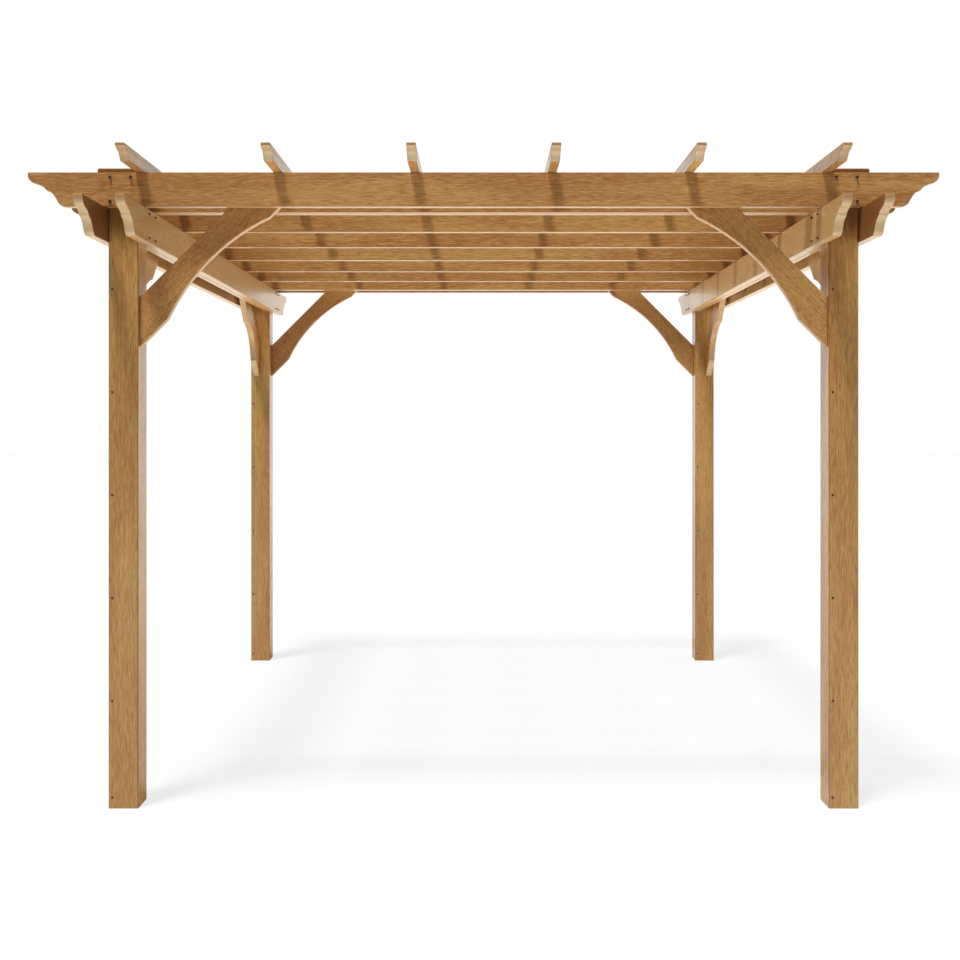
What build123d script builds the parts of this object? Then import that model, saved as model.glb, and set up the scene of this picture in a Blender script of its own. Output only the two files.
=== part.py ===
from build123d import *
from math import sqrt
import os

# A free-standing timber pergola with a square plan. Four posts stand between paired side beams and
# paired headers. The headers and the rafters lie across the side beams, and the runners lie on top
# of them. Origin: on the ground, in the middle of the plan. +X to the right, +Y to the back, +Z up.
# All sizes are in millimetres.

# Posts
post_size = 120
post_edge_radius = 6
post_span_x = 3000  # over the outer faces, left to right
post_span_y = 3000  # over the outer faces, front to back
head_height = 2400  # ground to the underside of the headers and rafters

# Boards on edge: side beams, headers and rafters are cut from one stock
board_thickness = 38
board_depth = 136
board_overhang_x = 308  # headers and rafters, past the outer faces of the posts
board_overhang_y = 300  # side beams, past the outer faces of the posts
board_nose = 16.5  # upright face left at the tip
board_tail = 143  # length of the shaped end
rafter_count = 5

# Shaped end of a board, tip to underside: quarter round, hollow, bead, slope and round.
# Each row: how far back and how far down the stretch ends, as shares of the tail and of the depth
# under the nose, and how far it bulges out, as a share of the board's depth.
board_tail_shares = [
    (0.20, 0.23, 0.040),
    (0.46, 0.36, -0.010),
    (0.65, 0.52, 0.032),
    (0.85, 0.88, -0.015),
    (1, 1, 0.016),
]

# Runners on the roof
runner_thickness = 36
runner_depth = 56
runner_overhang_y = 300  # past the outer faces of the posts
runner_nose = 12
runner_tail = 66
runner_count = 6

# Shaped end of a runner: a shallow round, then a steep hollow
runner_tail_shares = [
    (0.59, 0.33, 0.03),
    (1, 1, -0.025),
]

# Braces, cut from a straight plank set at 45 degrees, with the lower edge hollowed to an arc
brace_width = 141
brace_thickness = 38
brace_inset = 15  # behind the outer face of the post
brace_drop = 554  # lower tips, below the underside of the headers
cross_brace_head = 78  # rise between the headers
cross_brace_foot = 157  # straight stretch of the lower edge, at both ends
cross_brace_hollow = 51
side_brace_head = 65  # rise between the side beams
side_brace_foot = 135  # straight stretch of the lower edge, below the side beams
side_brace_hollow = 50

# Packing boards in the gaps between paired boards
packing_thickness = 30

# Caps on the post tops
cap_thickness = 20
cap_overhang = 36  # past the outer face of the post
cap_bearing = 20  # on each header
cap_gap = 1  # to the runner beside it
cap_chamfer = 4

# Places that follow from the sizes above
post_x = (post_span_x - post_size) / 2
post_y = (post_span_y - post_size) / 2
pair_offset = (post_size + board_thickness) / 2
beam_underside = head_height - board_depth
roof_height = head_height + board_depth
cross_board_length = post_span_x + 2 * board_overhang_x
side_beam_length = post_span_y + 2 * board_overhang_y
runner_length = post_span_y + 2 * runner_overhang_y
rafter_spacing = 2 * (post_y - pair_offset) / (rafter_count + 1)
outer_runner_x = post_x - (post_size + runner_thickness) / 2
runner_spacing = 2 * outer_runner_x / (runner_count - 1)

sides = {"left": -1, "right": 1}
ends = {"front": -1, "back": 1}


def across(y, z):
    """Upright plane that faces the front, with its x along +X."""
    return Plane((0, y, z), x_dir=(1, 0, 0), z_dir=(0, -1, 0))


def lengthwise(x, z):
    """Upright plane that faces the right side, with its x along +Y."""
    return Plane((x, 0, z), x_dir=(0, 1, 0), z_dir=(1, 0, 0))


def save(piece, name):
    """Label a finished piece and write its STEP file."""
    piece.part.label = name
    export_step(piece.part, f"parts/{name}.step")


def shaped_board(plane, length, depth, thickness, nose, tail, tail_shares):
    """A board on edge, centred on the plane, with both ends cut to one moulded outline."""
    with BuildPart() as board:
        with BuildSketch(plane):
            with BuildLine():
                start = (length / 2, depth - nose)
                Polyline((0, depth), (length / 2, depth), start)
                for back_share, down_share, bulge_share in tail_shares:
                    end = (length / 2 - back_share * tail, (depth - nose) * (1 - down_share))
                    SagittaArc(start, end, bulge_share * depth)
                    start = end
                Line(start, (0, 0))
                mirror(about=Plane.YZ)
            make_face()
        extrude(amount=thickness / 2, both=True)
    return board


def brace(plane, rise, foot, head_foot, hollow):
    """A plank at 45 degrees from the plane's origin, cut upright at its foot and level at its head."""
    cut = brace_width * sqrt(2)
    hollow_start = foot / sqrt(2)
    hollow_end = rise - head_foot / sqrt(2)
    with BuildPart() as plank:
        with BuildSketch(plane):
            with BuildLine():
                Line((0, 0), (hollow_start, hollow_start))
                SagittaArc((hollow_start, hollow_start), (hollow_end, hollow_end), hollow)
                Polyline((hollow_end, hollow_end), (rise, rise), (rise - cut, rise), (0, cut), (0, 0))
            make_face()
        extrude(amount=brace_thickness / 2, both=True)
    return plank


os.makedirs("parts", exist_ok=True)

# Posts, from the ground up between the paired boards
for end, end_sign in ends.items():
    for side, side_sign in sides.items():
        with BuildPart() as post:
            with BuildSketch(Plane((side_sign * post_x, end_sign * post_y, 0))):
                Rectangle(post_size, post_size)
            extrude(amount=roof_height)
            fillet(post.edges().filter_by(Axis.Z), post_edge_radius)
        save(post, f"post_{end}_{side}")

# Side beams, a pair each side of the posts, flush with the underside of the headers
for side, side_sign in sides.items():
    for place, offset in (("outer", pair_offset), ("inner", -pair_offset)):
        beam_plane = lengthwise(side_sign * (post_x + offset), beam_underside)
        side_beam = shaped_board(
            beam_plane, side_beam_length, board_depth, board_thickness,
            board_nose, board_tail, board_tail_shares,
        )
        save(side_beam, f"side_beam_{side}_{place}")

# Headers, a pair either side of the posts, lying on the side beams
for end, end_sign in ends.items():
    for place, offset in (("outer", pair_offset), ("inner", -pair_offset)):
        header_plane = across(end_sign * (post_y + offset), head_height)
        header = shaped_board(
            header_plane, cross_board_length, board_depth, board_thickness,
            board_nose, board_tail, board_tail_shares,
        )
        save(header, f"header_{end}_{place}")

# Rafters, evenly spaced between the inner headers
for number in range(1, rafter_count + 1):
    rafter_y = pair_offset - post_y + number * rafter_spacing
    rafter = shaped_board(
        across(rafter_y, head_height), cross_board_length, board_depth, board_thickness,
        board_nose, board_tail, board_tail_shares,
    )
    save(rafter, f"rafter_{number}")

# Runners, evenly spaced on the headers and rafters, the outer two beside the posts
for number in range(runner_count):
    runner_x = number * runner_spacing - outer_runner_x
    runner = shaped_board(
        lengthwise(runner_x, roof_height), runner_length, runner_depth, runner_thickness,
        runner_nose, runner_tail, runner_tail_shares,
    )
    save(runner, f"runner_{number + 1}")

# Braces, from the inner faces of each post up between the headers and between the side beams
brace_tip = head_height - brace_drop
brace_offset = (post_size - brace_thickness) / 2 - brace_inset
cross_brace_rise = brace_drop + cross_brace_head
side_brace_rise = brace_drop - board_depth + side_brace_head
side_brace_head_foot = side_brace_foot + side_brace_head * sqrt(2)
for end, end_sign in ends.items():
    for side, side_sign in sides.items():
        cross_origin = (
            side_sign * (post_x - post_size / 2), end_sign * (post_y + brace_offset), brace_tip
        )
        cross_plane = Plane(cross_origin, x_dir=(-side_sign, 0, 0), z_dir=(0, side_sign, 0))
        cross_brace = brace(
            cross_plane, cross_brace_rise, cross_brace_foot, cross_brace_foot, cross_brace_hollow
        )
        save(cross_brace, f"cross_brace_{end}_{side}")

        side_origin = (
            side_sign * (post_x + brace_offset), end_sign * (post_y - post_size / 2), brace_tip
        )
        side_plane = Plane(side_origin, x_dir=(0, -end_sign, 0), z_dir=(-end_sign, 0, 0))
        side_brace = brace(
            side_plane, side_brace_rise, side_brace_foot, side_brace_head_foot, side_brace_hollow
        )
        save(side_brace, f"side_brace_{end}_{side}")

# Packing boards between the posts, against the inner header or the inner side beam
packing_offset = (post_size - packing_thickness) / 2
for end, end_sign in ends.items():
    with BuildPart() as header_packing:
        with BuildSketch(Plane((0, end_sign * (post_y - packing_offset), head_height))):
            Rectangle(post_span_x - 2 * post_size, packing_thickness)
        extrude(amount=board_depth)
    save(header_packing, f"header_packing_{end}")
for side, side_sign in sides.items():
    with BuildPart() as beam_packing:
        with BuildSketch(Plane((side_sign * (post_x - packing_offset), 0, beam_underside))):
            Rectangle(packing_thickness, post_span_y - 2 * post_size)
        extrude(amount=board_depth)
    save(beam_packing, f"beam_packing_{side}")

# Caps, on each post top and the two headers beside it, next to the outer runner
cap_length = post_size + cap_overhang - cap_gap
cap_offset = (cap_overhang + cap_gap) / 2
for end, end_sign in ends.items():
    for side, side_sign in sides.items():
        with BuildPart() as cap:
            with BuildSketch(Plane((side_sign * (post_x + cap_offset), end_sign * post_y, roof_height))):
                Rectangle(cap_length, post_size + 2 * cap_bearing)
            extrude(amount=cap_thickness)
            chamfer(cap.faces().sort_by(Axis.Z)[-1].edges(), cap_chamfer)
        save(cap, f"post_cap_{end}_{side}")
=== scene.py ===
"""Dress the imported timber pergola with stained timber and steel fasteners, in a plain white studio."""
import logging
import math
import random
from collections.abc import Callable, Sequence
from dataclasses import dataclass, replace
from enum import Enum
from typing import Any, Union

import bmesh
import bpy
from mathutils import Matrix, Vector


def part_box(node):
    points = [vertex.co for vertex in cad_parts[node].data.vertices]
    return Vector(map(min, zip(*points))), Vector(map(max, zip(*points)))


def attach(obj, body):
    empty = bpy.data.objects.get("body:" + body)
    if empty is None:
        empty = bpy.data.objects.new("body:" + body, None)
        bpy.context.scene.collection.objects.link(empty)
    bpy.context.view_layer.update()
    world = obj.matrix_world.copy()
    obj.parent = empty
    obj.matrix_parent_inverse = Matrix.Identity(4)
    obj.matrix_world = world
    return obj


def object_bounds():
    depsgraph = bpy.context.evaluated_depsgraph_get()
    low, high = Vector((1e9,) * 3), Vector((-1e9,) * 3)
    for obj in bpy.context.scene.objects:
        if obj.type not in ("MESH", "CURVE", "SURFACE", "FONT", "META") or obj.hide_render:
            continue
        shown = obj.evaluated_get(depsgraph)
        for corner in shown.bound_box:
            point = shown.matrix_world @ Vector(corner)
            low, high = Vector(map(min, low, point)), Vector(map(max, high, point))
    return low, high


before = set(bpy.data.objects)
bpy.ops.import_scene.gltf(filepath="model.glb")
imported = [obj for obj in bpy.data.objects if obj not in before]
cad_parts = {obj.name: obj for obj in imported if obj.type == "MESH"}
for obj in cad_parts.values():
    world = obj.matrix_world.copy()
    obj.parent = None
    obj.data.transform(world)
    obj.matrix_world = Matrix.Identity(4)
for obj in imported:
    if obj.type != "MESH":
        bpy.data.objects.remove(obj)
cad_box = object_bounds()

log = logging.getLogger("pergola")

BODY = "root"
SIDES = {"left": -1, "right": 1}
ENDS = {"front": -1, "back": 1}
CORNERS = [f"{end}_{side}" for end in ENDS for side in SIDES]
PLACES = ("outer", "inner")

MM = 0.001
QUARTER_TURN = math.pi / 2
DIAGONAL = math.sqrt(0.5)  # either part of a unit step at 45 degrees
PATTERN_ROOM = 90.0  # the stretch of every pattern in which a piece can start
NOISE_MIDDLE = 0.5  # what soft noise swings about
WHOLE_LENGTH = (-1.0, 0.0)  # the start and full places of painted shade that covers all the length
MIX_SHARE, MIX_BELOW, MIX_ABOVE, MIX_COLOUR = 0, 6, 7, 2  # a colour Mix node's inputs and its output

DARK_STAIN = (0.226, 0.074, 0.0075)
BRIGHT_STAIN = (0.545, 0.342, 0.136)
DULL_STAIN = (0.260, 0.125, 0.038)
DULL_END = (0.110, 0.045, 0.015)

Triple = tuple[float, float, float]
Operand = Union["Shade", float, Sequence[float]]
Spot = tuple[Vector, Vector]  # where a fastener meets the timber, and the way that it looks
Ring = Callable[[float], tuple[float, float]]  # radius and height at an angle
Pairs = dict[str, tuple[Vector, list[str]]]  # by a pair's name, the way out of the plan and its posts


class Shade:
    """A value that changes over a surface: a shader socket that takes part in Python expressions."""

    def __init__(self, graph: "ShaderGraph", socket: bpy.types.NodeSocket) -> None:
        """Hold the socket and the graph that it belongs to."""
        self.graph = graph
        self.socket = socket

    def maths(self, operation: str, *operands: Operand) -> "Shade":
        """Add one Math node, fed in order with wrapped sockets or plain numbers, and give its value."""
        return self.graph.node("ShaderNodeMath", {"operation": operation}, dict(enumerate(operands)))

    def __add__(self, other: Operand) -> "Shade":
        """Sum with a value or number."""
        return self.maths("ADD", self, other)

    def __radd__(self, other: Operand) -> "Shade":
        """Sum with a number on the left."""
        return self.maths("ADD", other, self)

    def __sub__(self, other: Operand) -> "Shade":
        """Difference from a value or number."""
        return self.maths("SUBTRACT", self, other)

    def __rsub__(self, other: Operand) -> "Shade":
        """Difference of a number on the left."""
        return self.maths("SUBTRACT", other, self)

    def __mul__(self, other: Operand) -> "Shade":
        """Product with a value or number."""
        return self.maths("MULTIPLY", self, other)

    def __rmul__(self, other: Operand) -> "Shade":
        """Product with a number on the left."""
        return self.maths("MULTIPLY", other, self)

    def __truediv__(self, other: Operand) -> "Shade":
        """Quotient by a value or number."""
        return self.maths("DIVIDE", self, other)

    def __rtruediv__(self, other: Operand) -> "Shade":
        """Quotient of a number on the left."""
        return self.maths("DIVIDE", other, self)

    def __pow__(self, other: Operand) -> "Shade":
        """Power of the value."""
        return self.maths("POWER", self, other)

    def __rpow__(self, other: Operand) -> "Shade":
        """Power of a number on the left."""
        return self.maths("POWER", other, self)

    def __abs__(self) -> "Shade":
        """Size of the value without its sign."""
        return self.maths("ABSOLUTE", self)

    def over(self, limit: float) -> "Shade":
        """One where the value is over the limit, otherwise nought."""
        return self.maths("GREATER_THAN", self, limit)

    def fraction(self) -> "Shade":
        """What is left over the whole number below."""
        return self.maths("FRACT", self)

    def rise(self, start: float, full: float) -> "Shade":
        """Climb smoothly from nought to one.

        Args:
            start: the value at which the climb starts.
            full: the value at which it ends, on either side of the start.

        Returns:
            The climb's height at this value.
        """
        settings = {"interpolation_type": "SMOOTHSTEP"}
        inputs = {"Value": self, "From Min": start, "From Max": full}
        return self.graph.node("ShaderNodeMapRange", settings, inputs)


class ShaderGraph:
    """The nodes of one material."""

    def __init__(self, name: str) -> None:
        """Start a material with a bare shader.

        Args:
            name: the material's name.
        """
        self.material = bpy.data.materials.new(name)
        self.material.use_nodes = True
        self.tree = self.material.node_tree
        self.surface = self.tree.nodes["Principled BSDF"]

    def node(
        self,
        kind: str,
        settings: dict[str, Any],
        inputs: dict[Union[str, int], Operand],
        output: Union[str, int] = 0,
    ) -> Shade:
        """Add one node.

        Args:
            kind: the node's type.
            settings: its properties, set before its sockets.
            inputs: the values or links of its sockets, by name or place.
            output: the socket to hand back.

        Returns:
            The chosen output.
        """
        made = self.tree.nodes.new(kind)
        for key, value in settings.items():
            setattr(made, key, value)
        for key, value in inputs.items():
            self.feed(made.inputs[key], value)
        return Shade(self, made.outputs[output])

    def feed(self, socket: bpy.types.NodeSocket, value: Operand) -> None:
        """Link a wrapped socket, or set a plain value.

        Args:
            socket: the input to feed.
            value: the wrapped socket or the value.
        """
        if isinstance(value, Shade):
            self.tree.links.new(value.socket, socket)
        else:
            socket.default_value = value

    def dress(self, **inputs: Operand) -> bpy.types.Material:
        """Feed the shader.

        Args:
            inputs: the shader's sockets, with underscores for the spaces in their names.

        Returns:
            The finished material.
        """
        for key, value in inputs.items():
            self.feed(self.surface.inputs[key.replace("_", " ")], value)
        return self.material

    def vector(self, operation: str, *operands: Operand) -> Shade:
        """Vector Math that gives a vector."""
        settings, inputs = {"operation": operation}, dict(enumerate(operands))
        return self.node("ShaderNodeVectorMath", settings, inputs, "Vector")

    def measure(self, operation: str, *operands: Operand) -> Shade:
        """Vector Math that gives a number."""
        settings, inputs = {"operation": operation}, dict(enumerate(operands))
        return self.node("ShaderNodeVectorMath", settings, inputs, "Value")

    def point(self, x: Operand, y: Operand, z: Operand) -> Shade:
        """A vector from its three parts."""
        return self.node("ShaderNodeCombineXYZ", {}, {"X": x, "Y": y, "Z": z})

    def noise(self, place: Shade, detail: float, roughness: float = 0.5) -> Shade:
        """Soft noise, about one unit to a lump."""
        inputs = {"Vector": place, "Scale": 1.0, "Detail": detail, "Roughness": roughness}
        return self.node("ShaderNodeTexNoise", {"noise_dimensions": "3D"}, inputs)

    def blend(self, share: Operand, below: Operand, above: Operand) -> Shade:
        """One colour turned into another by a share."""
        inputs = {MIX_SHARE: share, MIX_BELOW: below, MIX_ABOVE: above}
        return self.node("ShaderNodeMix", {"data_type": "RGBA"}, inputs, MIX_COLOUR)

    def bump(self, height: Shade, strength: float, distance: float) -> Shade:
        """Small relief for the Normal socket."""
        inputs = {"Height": height, "Strength": strength, "Distance": distance}
        return self.node("ShaderNodeBump", {}, inputs)


class Run(Enum):
    """How a piece lies: the run of its grain, then its depth and its thickness."""

    UPRIGHT = ((0, 0, 1), (1, 0, 0), (0, 1, 0))
    ACROSS = ((1, 0, 0), (0, 0, 1), (0, 1, 0))
    LENGTHWISE = ((0, 1, 0), (0, 0, 1), (1, 0, 0))
    RISING_RIGHT = ((DIAGONAL, 0, DIAGONAL), (-DIAGONAL, 0, DIAGONAL), (0, 1, 0))
    RISING_LEFT = ((-DIAGONAL, 0, DIAGONAL), (DIAGONAL, 0, DIAGONAL), (0, 1, 0))
    RISING_BACK = ((0, DIAGONAL, DIAGONAL), (0, -DIAGONAL, DIAGONAL), (1, 0, 0))
    RISING_FRONT = ((0, -DIAGONAL, DIAGONAL), (0, DIAGONAL, DIAGONAL), (1, 0, 0))


@dataclass(frozen=True)
class Figure:
    """Noise drawn out along the grain: its lumps to the metre along and across it, and how fine it is."""

    along: float
    across: float
    detail: float = 2.0
    roughness: float = 0.5


class Grain:
    """Where each point of a piece lies: along its grain, down its depth and through its thickness."""

    def __init__(self, graph: ShaderGraph, run: Run, centre: Vector, start: float) -> None:
        """Measure the places.

        Args:
            graph: the material's nodes.
            run: how the piece lies.
            centre: the middle of the piece.
            start: where the piece starts in every pattern, so that no two pieces match.
        """
        self.graph = graph
        self.start = start
        place = graph.node("ShaderNodeTexCoord", {}, {}, "Object")
        local = graph.vector("SUBTRACT", place, centre)
        self.along, self.depth, self.through = (
            graph.measure("DOT_PRODUCT", local, way) for way in run.value
        )

    def figure(self, figure: Figure, warp: Operand = 0.0) -> Shade:
        """Draw a figure.

        Args:
            figure: its rates and detail.
            warp: how far it is pushed across the grain, in metres.

        Returns:
            Noise about a half.
        """
        across = (self.depth + warp) * figure.across
        through = (self.through + warp) * figure.across
        spot = self.graph.point(self.along * figure.along + self.start, across, through)
        return self.graph.noise(spot, figure.detail, figure.roughness)


@dataclass(frozen=True)
class PaintedShade:
    """Painted shade on faces that look one way, past a place in the length, where other boards shade them.

    The start and full places are in metres from the middle of the piece. The facing says how squarely a
    face has to look that way before it counts, and before it counts in full.
    """

    way: Triple
    start: float
    full: float
    share: float = 1.0
    both_ends: bool = True
    facing: tuple[float, float] = (0.5, 0.9)

    def cover(self, grain: Grain, normal: Shade) -> Shade:
        """Find how much painted shade each point takes.

        Args:
            grain: where each point lies.
            normal: the way that the surface looks there.

        Returns:
            Nought in the open and the share where the painted shade is full.
        """
        looks = grain.graph.measure("DOT_PRODUCT", normal, self.way).rise(*self.facing)
        length = abs(grain.along) if self.both_ends else grain.along
        return looks * length.rise(self.start, self.full) * self.share


@dataclass(frozen=True)
class Stain:
    """One layer of colour, its cover, and where in a figure it comes in and is full.

    A full place below the start makes the layer follow the low parts of the figure.
    """

    colour: Triple
    cover_share: float
    start: float = 0.0
    full: float = 1.0

    def over(self, below: Operand, figure: Shade) -> Shade:
        """Lay the stain over the colour so far, wrapped or plain, where the figure brings it in."""
        share = figure.rise(self.start, self.full) * self.cover_share
        return figure.graph.blend(share, below, (*self.colour, 1))


@dataclass(frozen=True)
class StainedTimber:
    """Planed softwood under a golden-brown stain, with patches, streaks, flecks, rings and pin knots."""

    # Colours, from the ground coat up
    ruddy: Triple = (0.348, 0.153, 0.0445)
    golden: Stain = Stain((0.438, 0.232, 0.0690), 1.0, 0.36, 0.64)
    dark_fleck: Stain = Stain(DARK_STAIN, 0.45, 0.52, 0.70)
    bright_fleck: Stain = Stain(BRIGHT_STAIN, 0.40, 0.47, 0.30)
    dark_streak: Stain = Stain(DARK_STAIN, 0.32, 0.50, 0.78)
    late_ring: Stain = Stain(DARK_STAIN, 0.06)
    dark_fibre: Stain = Stain(DARK_STAIN, 0.56, 0.50, 0.67)
    bright_fibre: Stain = Stain(BRIGHT_STAIN, 0.52, 0.50, 0.33)
    # end grain, paler on the shaped ends' sloping cuts: partly end grain, partly a painted sheen of the
    # bright floor below
    end_grain_and_sheen: Stain = Stain((0.360, 0.249, 0.150), 0.64, 0.12, 0.55)
    # square end faces go back to the wood's own colour, so the painted sheen stays on the slopes
    square_nose: Stain = Stain((0.345, 0.175, 0.0580), 0.75, 0.93, 0.985)
    # darker along the arrises
    dark_arris: Stain = Stain((0.170, 0.060, 0.014), 0.55)
    knot: Stain = Stain((0.085, 0.030, 0.009), 0.75)
    # painted shade: a dark red-brown laid where neighbouring boards shade the faces
    painted_shade_stain: Stain = Stain((0.170, 0.050, 0.012), 0.66)
    tone_reach: float = 0.04

    # Figures that the colours follow, and how far they bend
    patch: Figure = Figure(1.1, 11)
    bend: Figure = Figure(4.5, 9, 3)
    streak: Figure = Figure(3.6, 55, 3, 0.55)
    fleck: Figure = Figure(20, 165, 3, 0.6)
    fibre: Figure = Figure(22, 260, 3, 0.6)
    sway: Figure = Figure(0.55, 1.5)
    bend_reach: float = 0.011
    sway_reach: float = 0.06
    sway_through_share: float = 0.5

    # Year rings, and how far their pith can lie from the middle of the piece
    ring_pitch: float = 0.0062
    ring_ragged: float = 0.65
    ring_shares: Triple = (0.25, 0.90, 0.93)
    pith_far: float = 0.11
    pith_near_share: float = 0.25
    pith_off_share: float = 0.6
    pith_lean: float = 0.02

    # Arrises and knots
    arris_width: float = 0.005
    arris_full_share: float = 0.2
    knot_room: Triple = (0.62, 0.12, 0.12)
    knot_radius: float = 0.004
    knot_fade: float = 0.008
    knot_reach: float = 0.028
    knot_jitter: float = 0.9
    knot_share: float = 0.4

    # Sheen and relief, the relief's shares for late wood, flecks, fibres and knots
    sheen_roughness: float = 0.30
    rough_fibre: float = 0.16
    rough_late: float = -0.05
    rough_end: float = 0.12
    relief: float = 0.0007
    relief_strength: float = 0.14
    relief_shares: tuple[float, float, float, float] = (0.3, 0.4, 0.3, -0.4)

    def material(
        self, name: str, run: Run, centre: Vector, half: Triple, painted_shades: Sequence[PaintedShade]
    ) -> bpy.types.Material:
        """Make the timber of one piece, with its own figure and tone.

        Args:
            name: the piece's name, which also seeds its figure.
            run: how the piece lies.
            centre: the middle of the piece.
            half: half its length, depth and thickness.
            painted_shades: its stretches painted with shade.

        Returns:
            The piece's material.
        """
        rng = random.Random(name)
        graph = ShaderGraph(f"timber_{name}")
        grain = Grain(graph, run, centre, rng.uniform(0, PATTERN_ROOM))
        bend = (grain.figure(self.bend) - NOISE_MIDDLE) * self.bend_reach
        patch, streak, fleck, fibre = (
            grain.figure(figure, bend) for figure in (self.patch, self.streak, self.fleck, self.fibre)
        )
        knot_core, knot_halo = self.knots(grain)
        late = self.late_wood(grain, half, streak, knot_halo, rng)
        normal = graph.node("ShaderNodeNewGeometry", {}, {}, "Normal")
        end = abs(graph.measure("DOT_PRODUCT", normal, run.value[0]))
        arris = self.near_edge(grain.depth, half[1]) * self.near_edge(grain.through, half[2])

        patch = patch + rng.uniform(-self.tone_reach, self.tone_reach)
        colour: Operand = (*self.ruddy, 1)
        # the end-grain stain also paints a sheen on the shaped ends' slopes
        for stain, figure in (
            (self.golden, patch), (self.dark_fleck, fleck), (self.bright_fleck, fleck),
            (self.dark_streak, streak), (self.late_ring, late), (self.dark_fibre, fibre),
            (self.bright_fibre, fibre), (self.end_grain_and_sheen, end), (self.square_nose, end),
            (self.dark_arris, arris), (self.knot, knot_core),
        ):
            colour = stain.over(colour, figure)
        # lay painted shade where neighbouring boards shade the faces
        for painted_shade in painted_shades:
            colour = self.painted_shade_stain.over(colour, painted_shade.cover(grain, normal))

        rough = self.sheen_roughness + (fibre - NOISE_MIDDLE) * self.rough_fibre + late * self.rough_late
        rough = rough + end.rise(self.end_grain_and_sheen.start, self.end_grain_and_sheen.full) * self.rough_end
        reliefs = zip((late, fleck, fibre, knot_core), self.relief_shares)
        height = sum(part * share for part, share in reliefs)
        relief = graph.bump(height, self.relief_strength, self.relief)
        return graph.dress(Base_Color=colour, Roughness=rough, Normal=relief)

    def near_edge(self, place: Shade, half: float) -> Shade:
        """One close to either edge of a face, nought further in."""
        return abs(place).rise(half - self.arris_width, half - self.arris_width * self.arris_full_share)

    def late_wood(
        self, grain: Grain, half: Triple, streak: Shade, halo: Shade, rng: random.Random
    ) -> Shade:
        """Draw the year rings round a pith off the middle of the piece.

        Args:
            grain: where each point lies.
            half: half the piece's length, depth and thickness.
            streak: the streaks, which roughen the rings.
            halo: the patches round knots, which bend them.
            rng: the piece's own chances.

        Returns:
            The dark late wood of each ring.
        """
        sway = (grain.figure(self.sway) - NOISE_MIDDLE) * self.sway_reach
        pith_depth = rng.uniform(-self.pith_off_share, self.pith_off_share) * half[1]
        pith_through = rng.choice((-1, 1)) * rng.uniform(self.pith_near_share, 1) * self.pith_far
        lean = rng.uniform(-self.pith_lean, self.pith_lean)
        off_depth = grain.depth + grain.along * lean + sway + pith_depth
        off_through = grain.through + pith_through + sway * self.sway_through_share
        radius = (off_depth * off_depth + off_through * off_through) ** 0.5
        ragged = (streak - NOISE_MIDDLE) * self.ring_ragged
        year = (radius / self.ring_pitch + ragged + halo).fraction()
        start, full, fall = self.ring_shares
        return year.rise(start, full) * (1 - year.rise(fall, 1.0))

    def knots(self, grain: Grain) -> tuple[Shade, Shade]:
        """Scatter a few small knots.

        Args:
            grain: where each point lies.

        Returns:
            The knots' dark middles and the wider patches where the grain bends round them.
        """
        graph, room = grain.graph, self.knot_room
        along = grain.along / room[0] + grain.start
        cell = graph.point(along, grain.depth / room[1], grain.through / room[2])
        inputs = {"Vector": cell, "Scale": 1.0, "Randomness": self.knot_jitter}
        settings = {"voronoi_dimensions": "3D", "feature": "F1"}
        middle = graph.node("ShaderNodeTexVoronoi", settings, inputs, "Position")
        lot = graph.node("ShaderNodeTexVoronoi", settings, inputs, "Color")
        off = graph.vector("MULTIPLY", graph.vector("SUBTRACT", cell, middle), room)
        away = graph.measure("LENGTH", off)
        chance = graph.node("ShaderNodeSeparateColor", {}, {"Color": lot}, "Red")
        chosen = chance.over(1 - self.knot_share)
        core = (1 - away.rise(self.knot_radius, self.knot_fade)) * chosen
        halo = (1 - away.rise(self.knot_radius, self.knot_reach)) * chosen
        return core, halo


TIMBER = StainedTimber()
POST_TIMBER = replace(
    TIMBER,
    ruddy=(0.363, 0.173, 0.0450),
    golden=replace(TIMBER.golden, colour=(0.430, 0.241, 0.0675)),
    dark_fleck=replace(TIMBER.dark_fleck, cover_share=0.40),
    bright_fleck=replace(TIMBER.bright_fleck, cover_share=0.26),
    bright_fibre=replace(TIMBER.bright_fibre, cover_share=0.42),
    dark_arris=replace(TIMBER.dark_arris, cover_share=0.85),
)
BRACE_TIMBER = replace(
    TIMBER,
    ruddy=(0.352, 0.151, 0.0440),
    dark_fleck=replace(TIMBER.dark_fleck, cover_share=0.30),
    bright_fleck=replace(TIMBER.bright_fleck, cover_share=0.16),
    dark_streak=replace(TIMBER.dark_streak, cover_share=0.16),
    dark_fibre=replace(TIMBER.dark_fibre, cover_share=0.85),
    bright_fibre=replace(TIMBER.bright_fibre, cover_share=0.56),
    fibre=replace(TIMBER.fibre, along=42),
)
# side-beam timber: calmer grain, with colours paler and bluer partly as a painted sheen of faces seen edge
# on
CALM_SHEENED_TIMBER = replace(
    TIMBER,
    ruddy=(0.424, 0.238, 0.087),
    golden=replace(TIMBER.golden, colour=(0.468, 0.280, 0.107)),
    dark_streak=replace(TIMBER.dark_streak, cover_share=0.16),
    late_ring=replace(TIMBER.late_ring, cover_share=0.02),
    dark_fibre=replace(TIMBER.dark_fibre, cover_share=0.25),
    bright_fibre=replace(TIMBER.bright_fibre, cover_share=0.25),
    rough_late=0.0,
    relief_shares=(0.0, 0.3, 0.2, -0.4),
)
DARK_TIMBER = replace(
    TIMBER,
    ruddy=(0.130, 0.048, 0.012),
    golden=replace(TIMBER.golden, colour=(0.180, 0.075, 0.018)),
    bright_fleck=replace(TIMBER.bright_fleck, colour=DULL_STAIN),
    bright_fibre=replace(TIMBER.bright_fibre, colour=DULL_STAIN),
    end_grain_and_sheen=replace(TIMBER.end_grain_and_sheen, colour=DULL_END),
    square_nose=replace(TIMBER.square_nose, colour=DULL_END),
)


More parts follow.
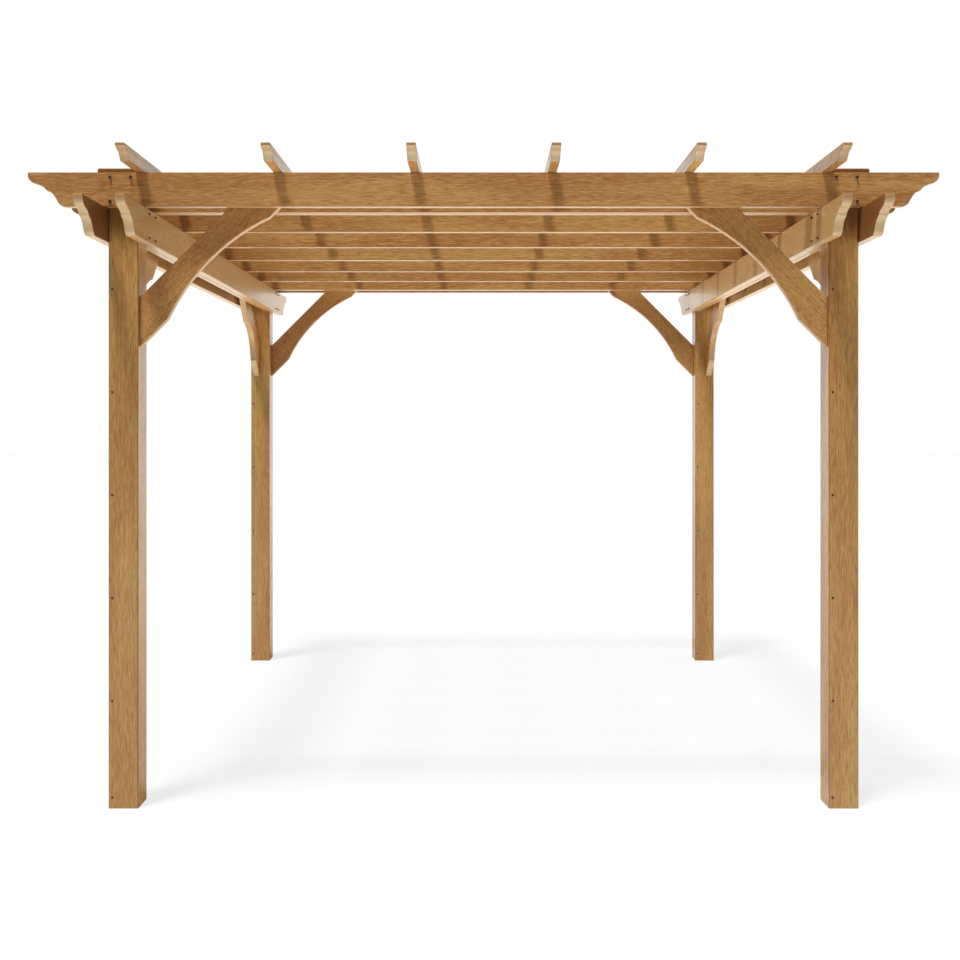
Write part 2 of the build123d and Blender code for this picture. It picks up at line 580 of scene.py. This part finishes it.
@dataclass(frozen=True)
class DarkSteel:
    """Browned steel of the bolts, washers, nuts and screws."""

    dark: Triple = (0.045, 0.034, 0.026)
    light: Stain = Stain((0.120, 0.095, 0.072), 1.0, 0.35, 0.70)
    lumps: float = 260.0
    detail: float = 4.0
    metallic: float = 0.8
    roughness: float = 0.42
    rough_reach: float = 0.25
    relief: float = 0.0003
    relief_strength: float = 0.15

    def material(self, name: str) -> bpy.types.Material:
        """Make the steel.

        Args:
            name: the material's name.

        Returns:
            The material.
        """
        graph = ShaderGraph(name)
        place = graph.node("ShaderNodeTexCoord", {}, {}, "Object")
        mottle = graph.noise(graph.vector("MULTIPLY", place, (self.lumps,) * 3), self.detail)
        colour = self.light.over((*self.dark, 1), mottle)
        rough = self.roughness + (mottle - NOISE_MIDDLE) * self.rough_reach
        relief = graph.bump(mottle, self.relief_strength, self.relief)
        return graph.dress(Base_Color=colour, Roughness=rough, Metallic=self.metallic, Normal=relief)


@dataclass(frozen=True)
class PaleFinish:
    """Matt finish of the studio: a shade of white and a glow that keeps its shadows faint, each tinted."""

    white: float
    glow: float
    tint: Triple = (1.0, 1.0, 1.0)
    glow_tint: Triple = (1.0, 1.0, 1.0)
    roughness: float = 0.9

    def material(self, name: str) -> bpy.types.Material:
        """Make the plain finish.

        Args:
            name: the material's name.

        Returns:
            The material.
        """
        return ShaderGraph(name).dress(
            Base_Color=(*(self.white * part for part in self.tint), 1), Roughness=self.roughness,
            Specular_IOR_Level=0.0, Emission_Color=(*self.glow_tint, 1), Emission_Strength=self.glow,
        )


@dataclass
class Fastener:
    """What every fastener does: turn a round profile into mesh and set it where it is driven."""

    facets: int = 24

    def rings(self) -> list[Ring]:
        """The profile from the timber outwards, in millimetres."""
        raise NotImplementedError

    def drive(self, mesh: bmesh.types.BMesh, spot: Vector, out: Vector) -> None:
        """Add one fastener to a mesh.

        Args:
            mesh: the mesh that it joins.
            spot: where its axis meets the timber.
            out: the way that its head looks.
        """
        turn = out.to_track_quat("Z", "Y").to_matrix().to_4x4()
        seat = Matrix.Translation(spot) @ turn
        before = None
        for ring in self.rings():
            row = []
            for step in range(self.facets):
                angle = 2 * math.pi * step / self.facets
                radius, height = ring(angle)
                local = Vector((radius * math.cos(angle), radius * math.sin(angle), height)) * MM
                row.append(mesh.verts.new(seat @ local))
            if before:
                for step in range(self.facets):
                    after = (step + 1) % self.facets
                    mesh.faces.new((before[step], before[after], row[after], row[step]))
            else:
                mesh.faces.new(row[::-1])
            before = row
        mesh.faces.new(before)


@dataclass
class HexBolt(Fastener):
    """A hexagon bolt head on a round washer, sizes in millimetres."""

    washer_radius: float = 5.8
    washer_thickness: float = 1.2
    washer_edge: float = 0.3
    across_flats: float = 9.0
    head_height: float = 6.5
    sides: int = 6
    crown_share: float = 0.47
    corner_slope: float = math.tan(math.radians(30))
    sunk: float = 1.0

    def corner(self, angle: float) -> float:
        """Radius of the hexagon at an angle."""
        step = 2 * math.pi / self.sides
        return self.across_flats / 2 / math.cos(angle % step - step / 2)

    def rings(self) -> list[Ring]:
        """Shape the washer, then the head with its rounded corners.

        Returns:
            The profile from the timber outwards.
        """
        washer, seat, edge = self.washer_radius, self.washer_thickness, self.washer_edge
        top, crown = seat + self.head_height, self.across_flats * self.crown_share
        return [
            lambda angle: (washer, -self.sunk),
            lambda angle: (washer, seat - edge),
            lambda angle: (washer - edge, seat),
            lambda angle: (self.corner(angle), seat),
            lambda angle: (self.corner(angle), top - (self.corner(angle) - crown) * self.corner_slope),
            lambda angle: (crown, top),
        ]


@dataclass
class HexNut(HexBolt):
    """A nut on a washer, with the bolt's end standing out of it."""

    washer_radius: float = 5.0
    across_flats: float = 7.6
    head_height: float = 4.0
    stub_radius: float = 2.5
    stub_height: float = 2.0
    stub_chamfer: float = 0.8
    thread_gap: float = 0.3

    def rings(self) -> list[Ring]:
        """Shape the washer, the nut and the bolt's chamfered end.

        Returns:
            The profile from the timber outwards.
        """
        stub, top = self.stub_radius, self.washer_thickness + self.head_height
        tip = top + self.stub_height
        return super().rings() + [
            lambda angle: (stub + self.thread_gap, top - self.thread_gap),
            lambda angle: (stub, tip - self.stub_chamfer),
            lambda angle: (stub - self.stub_chamfer, tip),
        ]


@dataclass
class ScrewHead(Fastener):
    """A countersunk screw, drawn nearly flush, with a six-lobed recess, sizes in millimetres."""

    radius: float = 4.2
    proud: float = 0.5
    rim_share: float = 0.4
    flat_share: float = 0.9
    recess: float = 2.1
    recess_depth: float = 0.4
    recess_floor_share: float = 0.85
    lobes: int = 6
    lobe_share: float = 0.16
    sunk: float = 1.0

    def lobe(self, angle: float) -> float:
        """Radius of the recess at an angle."""
        return self.recess * (1 + self.lobe_share * math.cos(self.lobes * angle))

    def rings(self) -> list[Ring]:
        """Shape the rim, the flat and the walls of the recess.

        Returns:
            The profile from the timber outwards.
        """
        floor = self.proud - self.recess_depth
        return [
            lambda angle: (self.radius, -self.sunk),
            lambda angle: (self.radius, self.proud * self.rim_share),
            lambda angle: (self.radius * self.flat_share, self.proud),
            lambda angle: (self.lobe(angle), self.proud),
            lambda angle: (self.lobe(angle) * self.recess_floor_share, floor),
        ]


FastenerSets = dict[str, tuple[Fastener, list[Spot]]]  # by piece name, what is driven and where


@dataclass
class Timbers:
    """CAD pieces of one kind, dressed in place."""

    timber: StainedTimber = TIMBER
    ease: float = 3.2 * MM
    ease_segments: int = 3
    sharp_angle: float = math.radians(30)
    flat_angle: float = math.radians(0.5)
    weld: float = 0.01 * MM

    def pieces(self) -> dict[str, Run]:
        """The pieces' node names, each with the way it lies."""
        raise NotImplementedError

    def fasteners(self) -> FastenerSets:
        """The fastener sets that hold these pieces."""
        return {}

    def painted_shades(self) -> dict[str, list[PaintedShade]]:
        """The stretches painted with shade, by piece name."""
        return {}

    def soften(self, piece: bpy.types.Object) -> None:
        """Join the flat faces of a CAD piece and ease its sharp edges, with modifiers.

        Args:
            piece: the CAD node's object.
        """
        piece.modifiers.new("join", "WELD").merge_threshold = self.weld
        plain = piece.modifiers.new("plain", "DECIMATE")
        plain.decimate_type = "DISSOLVE"
        plain.angle_limit = self.flat_angle
        edges = piece.modifiers.new("ease", "BEVEL")
        edges.width = self.ease
        edges.segments = self.ease_segments
        edges.limit_method = "ANGLE"
        edges.angle_limit = self.sharp_angle
        edges.use_clamp_overlap = False

    def dress(self) -> None:
        """Give each CAD piece its eased edges and its own timber."""
        painted_shades = self.painted_shades()
        for name, run in self.pieces().items():
            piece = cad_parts[name]
            low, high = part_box(name)
            half = tuple(
                sum(abs(part) * side for part, side in zip(way, high - low)) / 2 for way in run.value
            )
            timber = self.timber.material(name, run, (low + high) / 2, half, painted_shades.get(name, []))
            piece.material_slots[0].material = timber
            self.soften(piece)
            log.info("dressed %s", name)

    def build(self, steel: bpy.types.Material) -> None:
        """Make the fastener sets that hold these pieces.

        Args:
            steel: the fasteners' material.
        """
        for name, (fastener, spots) in self.fasteners().items():
            mesh = bmesh.new()
            for spot, out in spots:
                fastener.drive(mesh, spot, out)
            bmesh.ops.recalc_face_normals(mesh, faces=mesh.faces)
            data = bpy.data.meshes.new(name)
            mesh.to_mesh(data)
            mesh.free()
            data.materials.append(steel)
            piece = bpy.data.objects.new(name, data)
            bpy.context.scene.collection.objects.link(piece)
            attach(piece, BODY)
            log.info("built %s, %d pieces", name, len(spots))


@dataclass
class Posts(Timbers):
    """Four square posts, with a row of screws down one edge of the front and back faces."""

    timber: StainedTimber = POST_TIMBER
    screw_edge: float = 16 * MM
    screw_foot: float = 45 * MM
    screw_top: float = 2077 * MM
    screw_pitch: float = 411.5 * MM
    screw_rows: int = 5
    screw_radius: float = 5.0
    # where the painted shade under the headers starts and is full, up the post from its middle
    eaves_start: float = 980 * MM
    eaves_full: float = 1120 * MM

    def pieces(self) -> dict[str, Run]:
        """The posts, upright."""
        return {f"post_{corner}": Run.UPRIGHT for corner in CORNERS}

    def painted_shades(self) -> dict[str, list[PaintedShade]]:
        """Paint shade on the outer faces close under the headers, where the headers shade them.

        Returns:
            The stretches painted with shade, by piece name.
        """
        found = {}
        for end, sign in ENDS.items():
            eaves = PaintedShade((0, sign, 0), self.eaves_start, self.eaves_full, both_ends=False)
            found |= {f"post_{end}_{side}": [eaves] for side in SIDES}
        return found

    def fasteners(self) -> FastenerSets:
        """Drive screws into the front faces at the left edge, and into the back faces turned about.

        Returns:
            The set of screws.
        """
        heights = [self.screw_foot]
        heights += [self.screw_top - row * self.screw_pitch for row in range(self.screw_rows)]
        spots = []
        for corner in CORNERS:
            low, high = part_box(f"post_{corner}")
            for height in heights:
                spots.append((Vector((low.x + self.screw_edge, low.y, height)), Vector((0, -1, 0))))
                spots.append((Vector((high.x - self.screw_edge, high.y, height)), Vector((0, 1, 0))))
        return {"post_screws": (ScrewHead(radius=self.screw_radius), spots)}


@dataclass
class BoltedPairs(Timbers):
    """Pairs of boards that hold the posts between them, with four bolts through each crossing."""

    kind: str = ""
    run: Run = Run.ACROSS
    spread: float = 41 * MM
    rise: float = 48 * MM
    # where the painted shade between the boards starts and is full, and how dark it lies all along the
    # outer board's inside
    shade_start: float = 1440 * MM
    shade_full: float = 1520 * MM
    gap_share: float = 0.6

    def pairs(self) -> Pairs:
        """Each pair's name, with the way out of the plan and the posts between its boards."""
        raise NotImplementedError

    def pieces(self) -> dict[str, Run]:
        """Both boards of each pair."""
        return {f"{pair}_{place}": self.run for pair in self.pairs() for place in PLACES}

    def painted_shades(self) -> dict[str, list[PaintedShade]]:
        """Paint shade on the faces that look at each other past the posts, and on the outer board's all
        along.

        Returns:
            The stretches painted with shade, by piece name.
        """
        found = {}
        for pair, (out, _) in self.pairs().items():
            for place, way in zip(PLACES, (-out, out)):
                found[f"{pair}_{place}"] = [PaintedShade(tuple(way), self.shade_start, self.shade_full)]
            found[f"{pair}_outer"].append(PaintedShade(tuple(-out), *WHOLE_LENGTH, self.gap_share))
        return found

    def bolts(self, board: str, posts: list[str], out: Vector) -> list[Spot]:
        """Find the bolts on one face of a board.

        Args:
            board: the board's node name.
            posts: the posts behind it.
            out: the way that the face looks.

        Returns:
            Where each bolt comes out, and which way it looks.
        """
        low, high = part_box(board)
        face = (low + high) / 2 + out * abs((high - low).dot(out)) / 2
        along = Vector((-out.y, out.x, 0))
        spots = []
        for post in posts:
            post_low, post_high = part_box(post)
            middle = face + along * ((post_low + post_high) / 2 - face).dot(along)
            for aside in (-self.spread, self.spread):
                for up in (-self.rise, self.rise):
                    spots.append((middle + along * aside + Vector((0, 0, up)), out))
        return spots

    def fasteners(self) -> FastenerSets:
        """Drive four bolts at each post, heads outside and nuts inside.

        Returns:
            The sets of heads and of nuts.
        """
        heads, nuts = [], []
        for pair, (out, posts) in self.pairs().items():
            heads += self.bolts(f"{pair}_outer", posts, out)
            nuts += self.bolts(f"{pair}_inner", posts, -out)
        return {f"{self.kind}_bolts": (HexBolt(), heads), f"{self.kind}_nuts": (HexNut(), nuts)}


@dataclass
class SideBeams(BoltedPairs):
    """Two pairs of side beams, bolted through the posts from left to right."""

    timber: StainedTimber = CALM_SHEENED_TIMBER
    kind: str = "side_beam"
    run: Run = Run.LENGTHWISE

    def pairs(self) -> Pairs:
        """Name the left and right pairs.

        Returns:
            Each pair's way out of the plan and the posts between its boards.
        """
        return {
            f"side_beam_{side}": (Vector((sign, 0, 0)), [f"post_{end}_{side}" for end in ENDS])
            for side, sign in SIDES.items()
        }


@dataclass
class Headers(BoltedPairs):
    """Two pairs of headers, bolted through the posts from front to back."""

    kind: str = "header"

    def pairs(self) -> Pairs:
        """Name the front and back pairs.

        Returns:
            Each pair's way out of the plan and the posts between its boards.
        """
        return {
            f"header_{end}": (Vector((0, sign, 0)), [f"post_{end}_{side}" for side in SIDES])
            for end, sign in ENDS.items()
        }


@dataclass
class Roof(Timbers):
    """Rafters, and the runners screwed down on every board that they cross."""

    rafters: int = 5
    runners: int = 6
    # where the painted shade on the rafters' faces starts and is full towards their ends, and how dark it
    # is
    shade_start: float = 850 * MM
    shade_full: float = 1350 * MM
    shade_share: float = 0.55

    def rafter_names(self) -> list[str]:
        """The rafters' node names, front to back."""
        return [f"rafter_{number}" for number in range(1, self.rafters + 1)]

    def pieces(self) -> dict[str, Run]:
        """The rafters across and the runners front to back."""
        across = dict.fromkeys(self.rafter_names(), Run.ACROSS)
        return across | {f"runner_{number}": Run.LENGTHWISE for number in range(1, self.runners + 1)}

    def painted_shades(self) -> dict[str, list[PaintedShade]]:
        """Paint shade on both faces of each rafter towards its ends, where the side beams shade them.

        Returns:
            The stretches painted with shade, by piece name.
        """
        stretch = (self.shade_start, self.shade_full, self.shade_share)
        faces = [PaintedShade((0, sign, 0), *stretch) for sign in ENDS.values()]
        return dict.fromkeys(self.rafter_names(), faces)

    def fasteners(self) -> FastenerSets:
        """Drive one screw into the top of each runner over each board.

        Returns:
            The set of screws.
        """
        boards = list(Headers().pieces()) + self.rafter_names()
        spots = []
        for number in range(1, self.runners + 1):
            low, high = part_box(f"runner_{number}")
            for board in boards:
                board_low, board_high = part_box(board)
                middle = Vector(((low.x + high.x) / 2, (board_low.y + board_high.y) / 2, high.z))
                spots.append((middle, Vector((0, 0, 1))))
        return {"runner_screws": (ScrewHead(), spots)}


@dataclass
class Braces(Timbers):
    """Curved braces that rise at 45 degrees from the posts, each screwed to its post at the foot."""

    timber: StainedTimber = BRACE_TIMBER
    foot_rises: tuple[float, float] = (64 * MM, 142 * MM)
    foot_inset: float = 25 * MM

    def pieces(self) -> dict[str, Run]:
        """List the cross braces to the headers and the side braces to the side beams.

        Returns:
            Their node names, each with the way it lies.
        """
        found = {}
        for end in ENDS:
            for side in SIDES:
                across = Run.RISING_RIGHT if side == "left" else Run.RISING_LEFT
                lengthwise = Run.RISING_BACK if end == "front" else Run.RISING_FRONT
                found |= {f"cross_brace_{end}_{side}": across, f"side_brace_{end}_{side}": lengthwise}
        return found

    def fasteners(self) -> FastenerSets:
        """Drive two screws by the post into the right face of side braces and the back of cross braces.

        Returns:
            The set of screws.
        """
        spots = []
        for end, end_sign in ENDS.items():
            for side, side_sign in SIDES.items():
                for rise in self.foot_rises:
                    low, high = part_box(f"side_brace_{end}_{side}")
                    foot = high.y - self.foot_inset if end_sign > 0 else low.y + self.foot_inset
                    spots.append((Vector((high.x, foot, low.z + rise)), Vector((1, 0, 0))))
                    low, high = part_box(f"cross_brace_{end}_{side}")
                    foot = high.x - self.foot_inset if side_sign > 0 else low.x + self.foot_inset
                    spots.append((Vector((foot, high.y, low.z + rise)), Vector((0, 1, 0))))
        return {"brace_screws": (ScrewHead(), spots)}


@dataclass
class Packing(Timbers):
    """Packing boards between the paired boards."""

    def pieces(self) -> dict[str, Run]:
        """Header packing across and beam packing front to back."""
        across = {f"header_packing_{end}": Run.ACROSS for end in ENDS}
        return across | {f"beam_packing_{side}": Run.LENGTHWISE for side in SIDES}


@dataclass
class PostCaps(Timbers):
    """Flat caps on the post tops, each held by two screws."""

    timber: StainedTimber = DARK_TIMBER
    ease: float = 1.2 * MM
    screw_spread: float = 45 * MM

    def pieces(self) -> dict[str, Run]:
        """The caps, grain across."""
        return {f"post_cap_{corner}": Run.ACROSS for corner in CORNERS}

    def fasteners(self) -> FastenerSets:
        """Drive two screws into each cap's top.

        Returns:
            The set of screws.
        """
        spots = []
        for corner in CORNERS:
            low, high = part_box(f"post_cap_{corner}")
            middle = (low + high) / 2
            for x in (middle.x - self.screw_spread, middle.x + self.screw_spread):
                spots.append((Vector((x, middle.y, high.z)), Vector((0, 0, 1))))
        return {"cap_screws": (ScrewHead(), spots)}


class Seen(Enum):
    """Which rays meet a part of the studio: camera, diffuse and glossy rays."""

    SHOWN = (True, False, False)
    LIGHTING = (False, True, True)


@dataclass(frozen=True)
class Lamp:
    """A far lamp: its strength, the spread of its rays, the way they travel and their colour.

    A lamp that isn't mirrored leaves no glints, because glossy rays don't meet it.
    """

    strength: float
    spread: float
    travel: Triple
    colour: Triple
    mirrored: bool = True

    def build(self, name: str) -> None:
        """Hang the lamp.

        Args:
            name: the lamp's name.
        """
        data = bpy.data.lights.new(name, "SUN")
        data.energy, data.angle, data.color = self.strength, self.spread, self.colour
        lamp = bpy.data.objects.new(name, data)
        lamp.rotation_euler = Vector(self.travel).to_track_quat("-Z", "Y").to_euler()
        lamp.visible_glossy = self.mirrored
        bpy.context.scene.collection.objects.link(lamp)
        log.info("hung %s", name)


@dataclass
class Studio:
    """White floor and backdrop, walls that only light, two lamps, and the photo's camera."""

    # Floor and backdrop, with a second floor just below that only lights
    floor_radius: float = 60.0
    floor_facets: int = 64
    dome_radius: float = 80.0
    bounce_drop: float = 2 * MM
    bounce: PaleFinish = PaleFinish(white=0.445, glow=0.0, tint=(1.11, 0.98, 0.89))
    shown: PaleFinish = PaleFinish(
        white=0.09, glow=0.79, tint=(1.09, 1.0, 0.95), glow_tint=(0.997, 1.0, 1.004)
    )
    backdrop: PaleFinish = PaleFinish(white=0.0, glow=1.02)

    # Walls behind and to the right
    back_wall: PaleFinish = PaleFinish(white=0.0, glow=1.45, glow_tint=(0.95, 0.99, 0.99))
    back_wall_place: Triple = (0.0, 14.0, 3.15)
    back_wall_half: tuple[float, float] = (24.0, 3.15)
    side_wall: PaleFinish = PaleFinish(white=0.0, glow=3.0, glow_tint=(0.97, 1.0, 1.03))
    side_wall_place: Triple = (8.0, 4.0, 3.0)
    side_wall_half: tuple[float, float] = (6.0, 3.0)

    # Light from all round, a high key lamp from the front left, and a soft fill from below
    surround: float = 0.15
    key: Lamp = Lamp(6.6, math.radians(11), (0.18, 0.22, -1.0), (0.91, 1.0, 1.07), mirrored=False)
    fill: Lamp = Lamp(2.3, math.radians(40), (0.0, 0.0, 1.0), (0.89, 1.05, 0.90))

    # Camera
    camera_place: Triple = (-0.011, -6.132, 1.544)
    lens: float = 43.46
    shift: tuple[float, float] = (-0.00083, -0.0599)

    def add(self, name: str, mesh: bmesh.types.BMesh, finish: PaleFinish, seen: Seen) -> None:
        """Add one part of the studio.

        Args:
            name: its name.
            mesh: its shape.
            finish: its finish.
            seen: which rays meet it.
        """
        data = bpy.data.meshes.new(name)
        mesh.to_mesh(data)
        mesh.free()
        data.materials.append(finish.material(name))
        part = bpy.data.objects.new(name, data)
        part.visible_camera, part.visible_diffuse, part.visible_glossy = seen.value
        part.visible_shadow = part.visible_transmission = part.visible_volume_scatter = False
        bpy.context.scene.collection.objects.link(part)
        log.info("set up %s", name)

    def build(self) -> None:
        """Lay the floors at the posts' feet, put the backdrop round them and stand the walls."""
        ground = cad_box[0].z
        floors = (
            ("floor", ground, self.shown, Seen.SHOWN),
            ("floor_bounce", ground - self.bounce_drop, self.bounce, Seen.LIGHTING),
        )
        for name, height, finish, seen in floors:
            mesh = bmesh.new()
            bmesh.ops.create_circle(
                mesh, cap_ends=True, segments=self.floor_facets, radius=self.floor_radius,
                matrix=Matrix.Translation((0, 0, height)),
            )
            self.add(name, mesh, finish, seen)
        mesh = bmesh.new()
        bmesh.ops.create_uvsphere(
            mesh, u_segments=self.floor_facets, v_segments=self.floor_facets // 2,
            radius=self.dome_radius,
        )
        self.add("backdrop", mesh, self.backdrop, Seen.SHOWN)
        walls = (
            ("back_wall", self.back_wall_place, self.back_wall_half, 0.0, self.back_wall),
            ("side_wall", self.side_wall_place, self.side_wall_half, QUARTER_TURN, self.side_wall),
        )
        for name, place, half, turn, finish in walls:
            mesh = bmesh.new()
            stand = Matrix.Rotation(turn, 4, "Z") @ Matrix.Rotation(QUARTER_TURN, 4, "X")
            shape = Matrix.Translation(place) @ stand @ Matrix.Diagonal((*half, 1, 1))
            bmesh.ops.create_grid(mesh, x_segments=1, y_segments=1, size=1, matrix=shape)
            self.add(name, mesh, finish, Seen.LIGHTING)

    def light(self) -> None:
        """Set up the light from all round and hang the lamps."""
        world = bpy.data.worlds.new("studio")
        world.use_nodes = True
        sky = world.node_tree.nodes["Background"]
        sky.inputs["Color"].default_value = (1, 1, 1, 1)
        sky.inputs["Strength"].default_value = self.surround
        bpy.context.scene.world = world
        self.key.build("key")
        self.fill.build("fill")

    def place_camera(self) -> None:
        """Stand where the photo was taken, level and facing the back."""
        data = bpy.data.cameras.new("camera")
        data.lens = self.lens
        data.shift_x, data.shift_y = self.shift
        camera = bpy.data.objects.new("camera", data)
        camera.location = self.camera_place
        camera.rotation_euler = (QUARTER_TURN, 0, 0)
        bpy.context.scene.collection.objects.link(camera)
        bpy.context.scene.camera = camera
        bpy.context.scene.view_settings.view_transform = "Standard"
        log.info("placed the camera")


def main() -> None:
    """Build and dress the pergola, then the studio round it."""
    logging.basicConfig(level=logging.INFO, format="%(name)s: %(message)s")
    steel = DarkSteel().material("dark_steel")
    for group in (Posts(), SideBeams(), Headers(), Roof(), Braces(), Packing(), PostCaps()):
        group.dress()
        group.build(steel)
    studio = Studio()
    studio.build()
    studio.light()
    studio.place_camera()


if __name__ == "__main__":
    main()
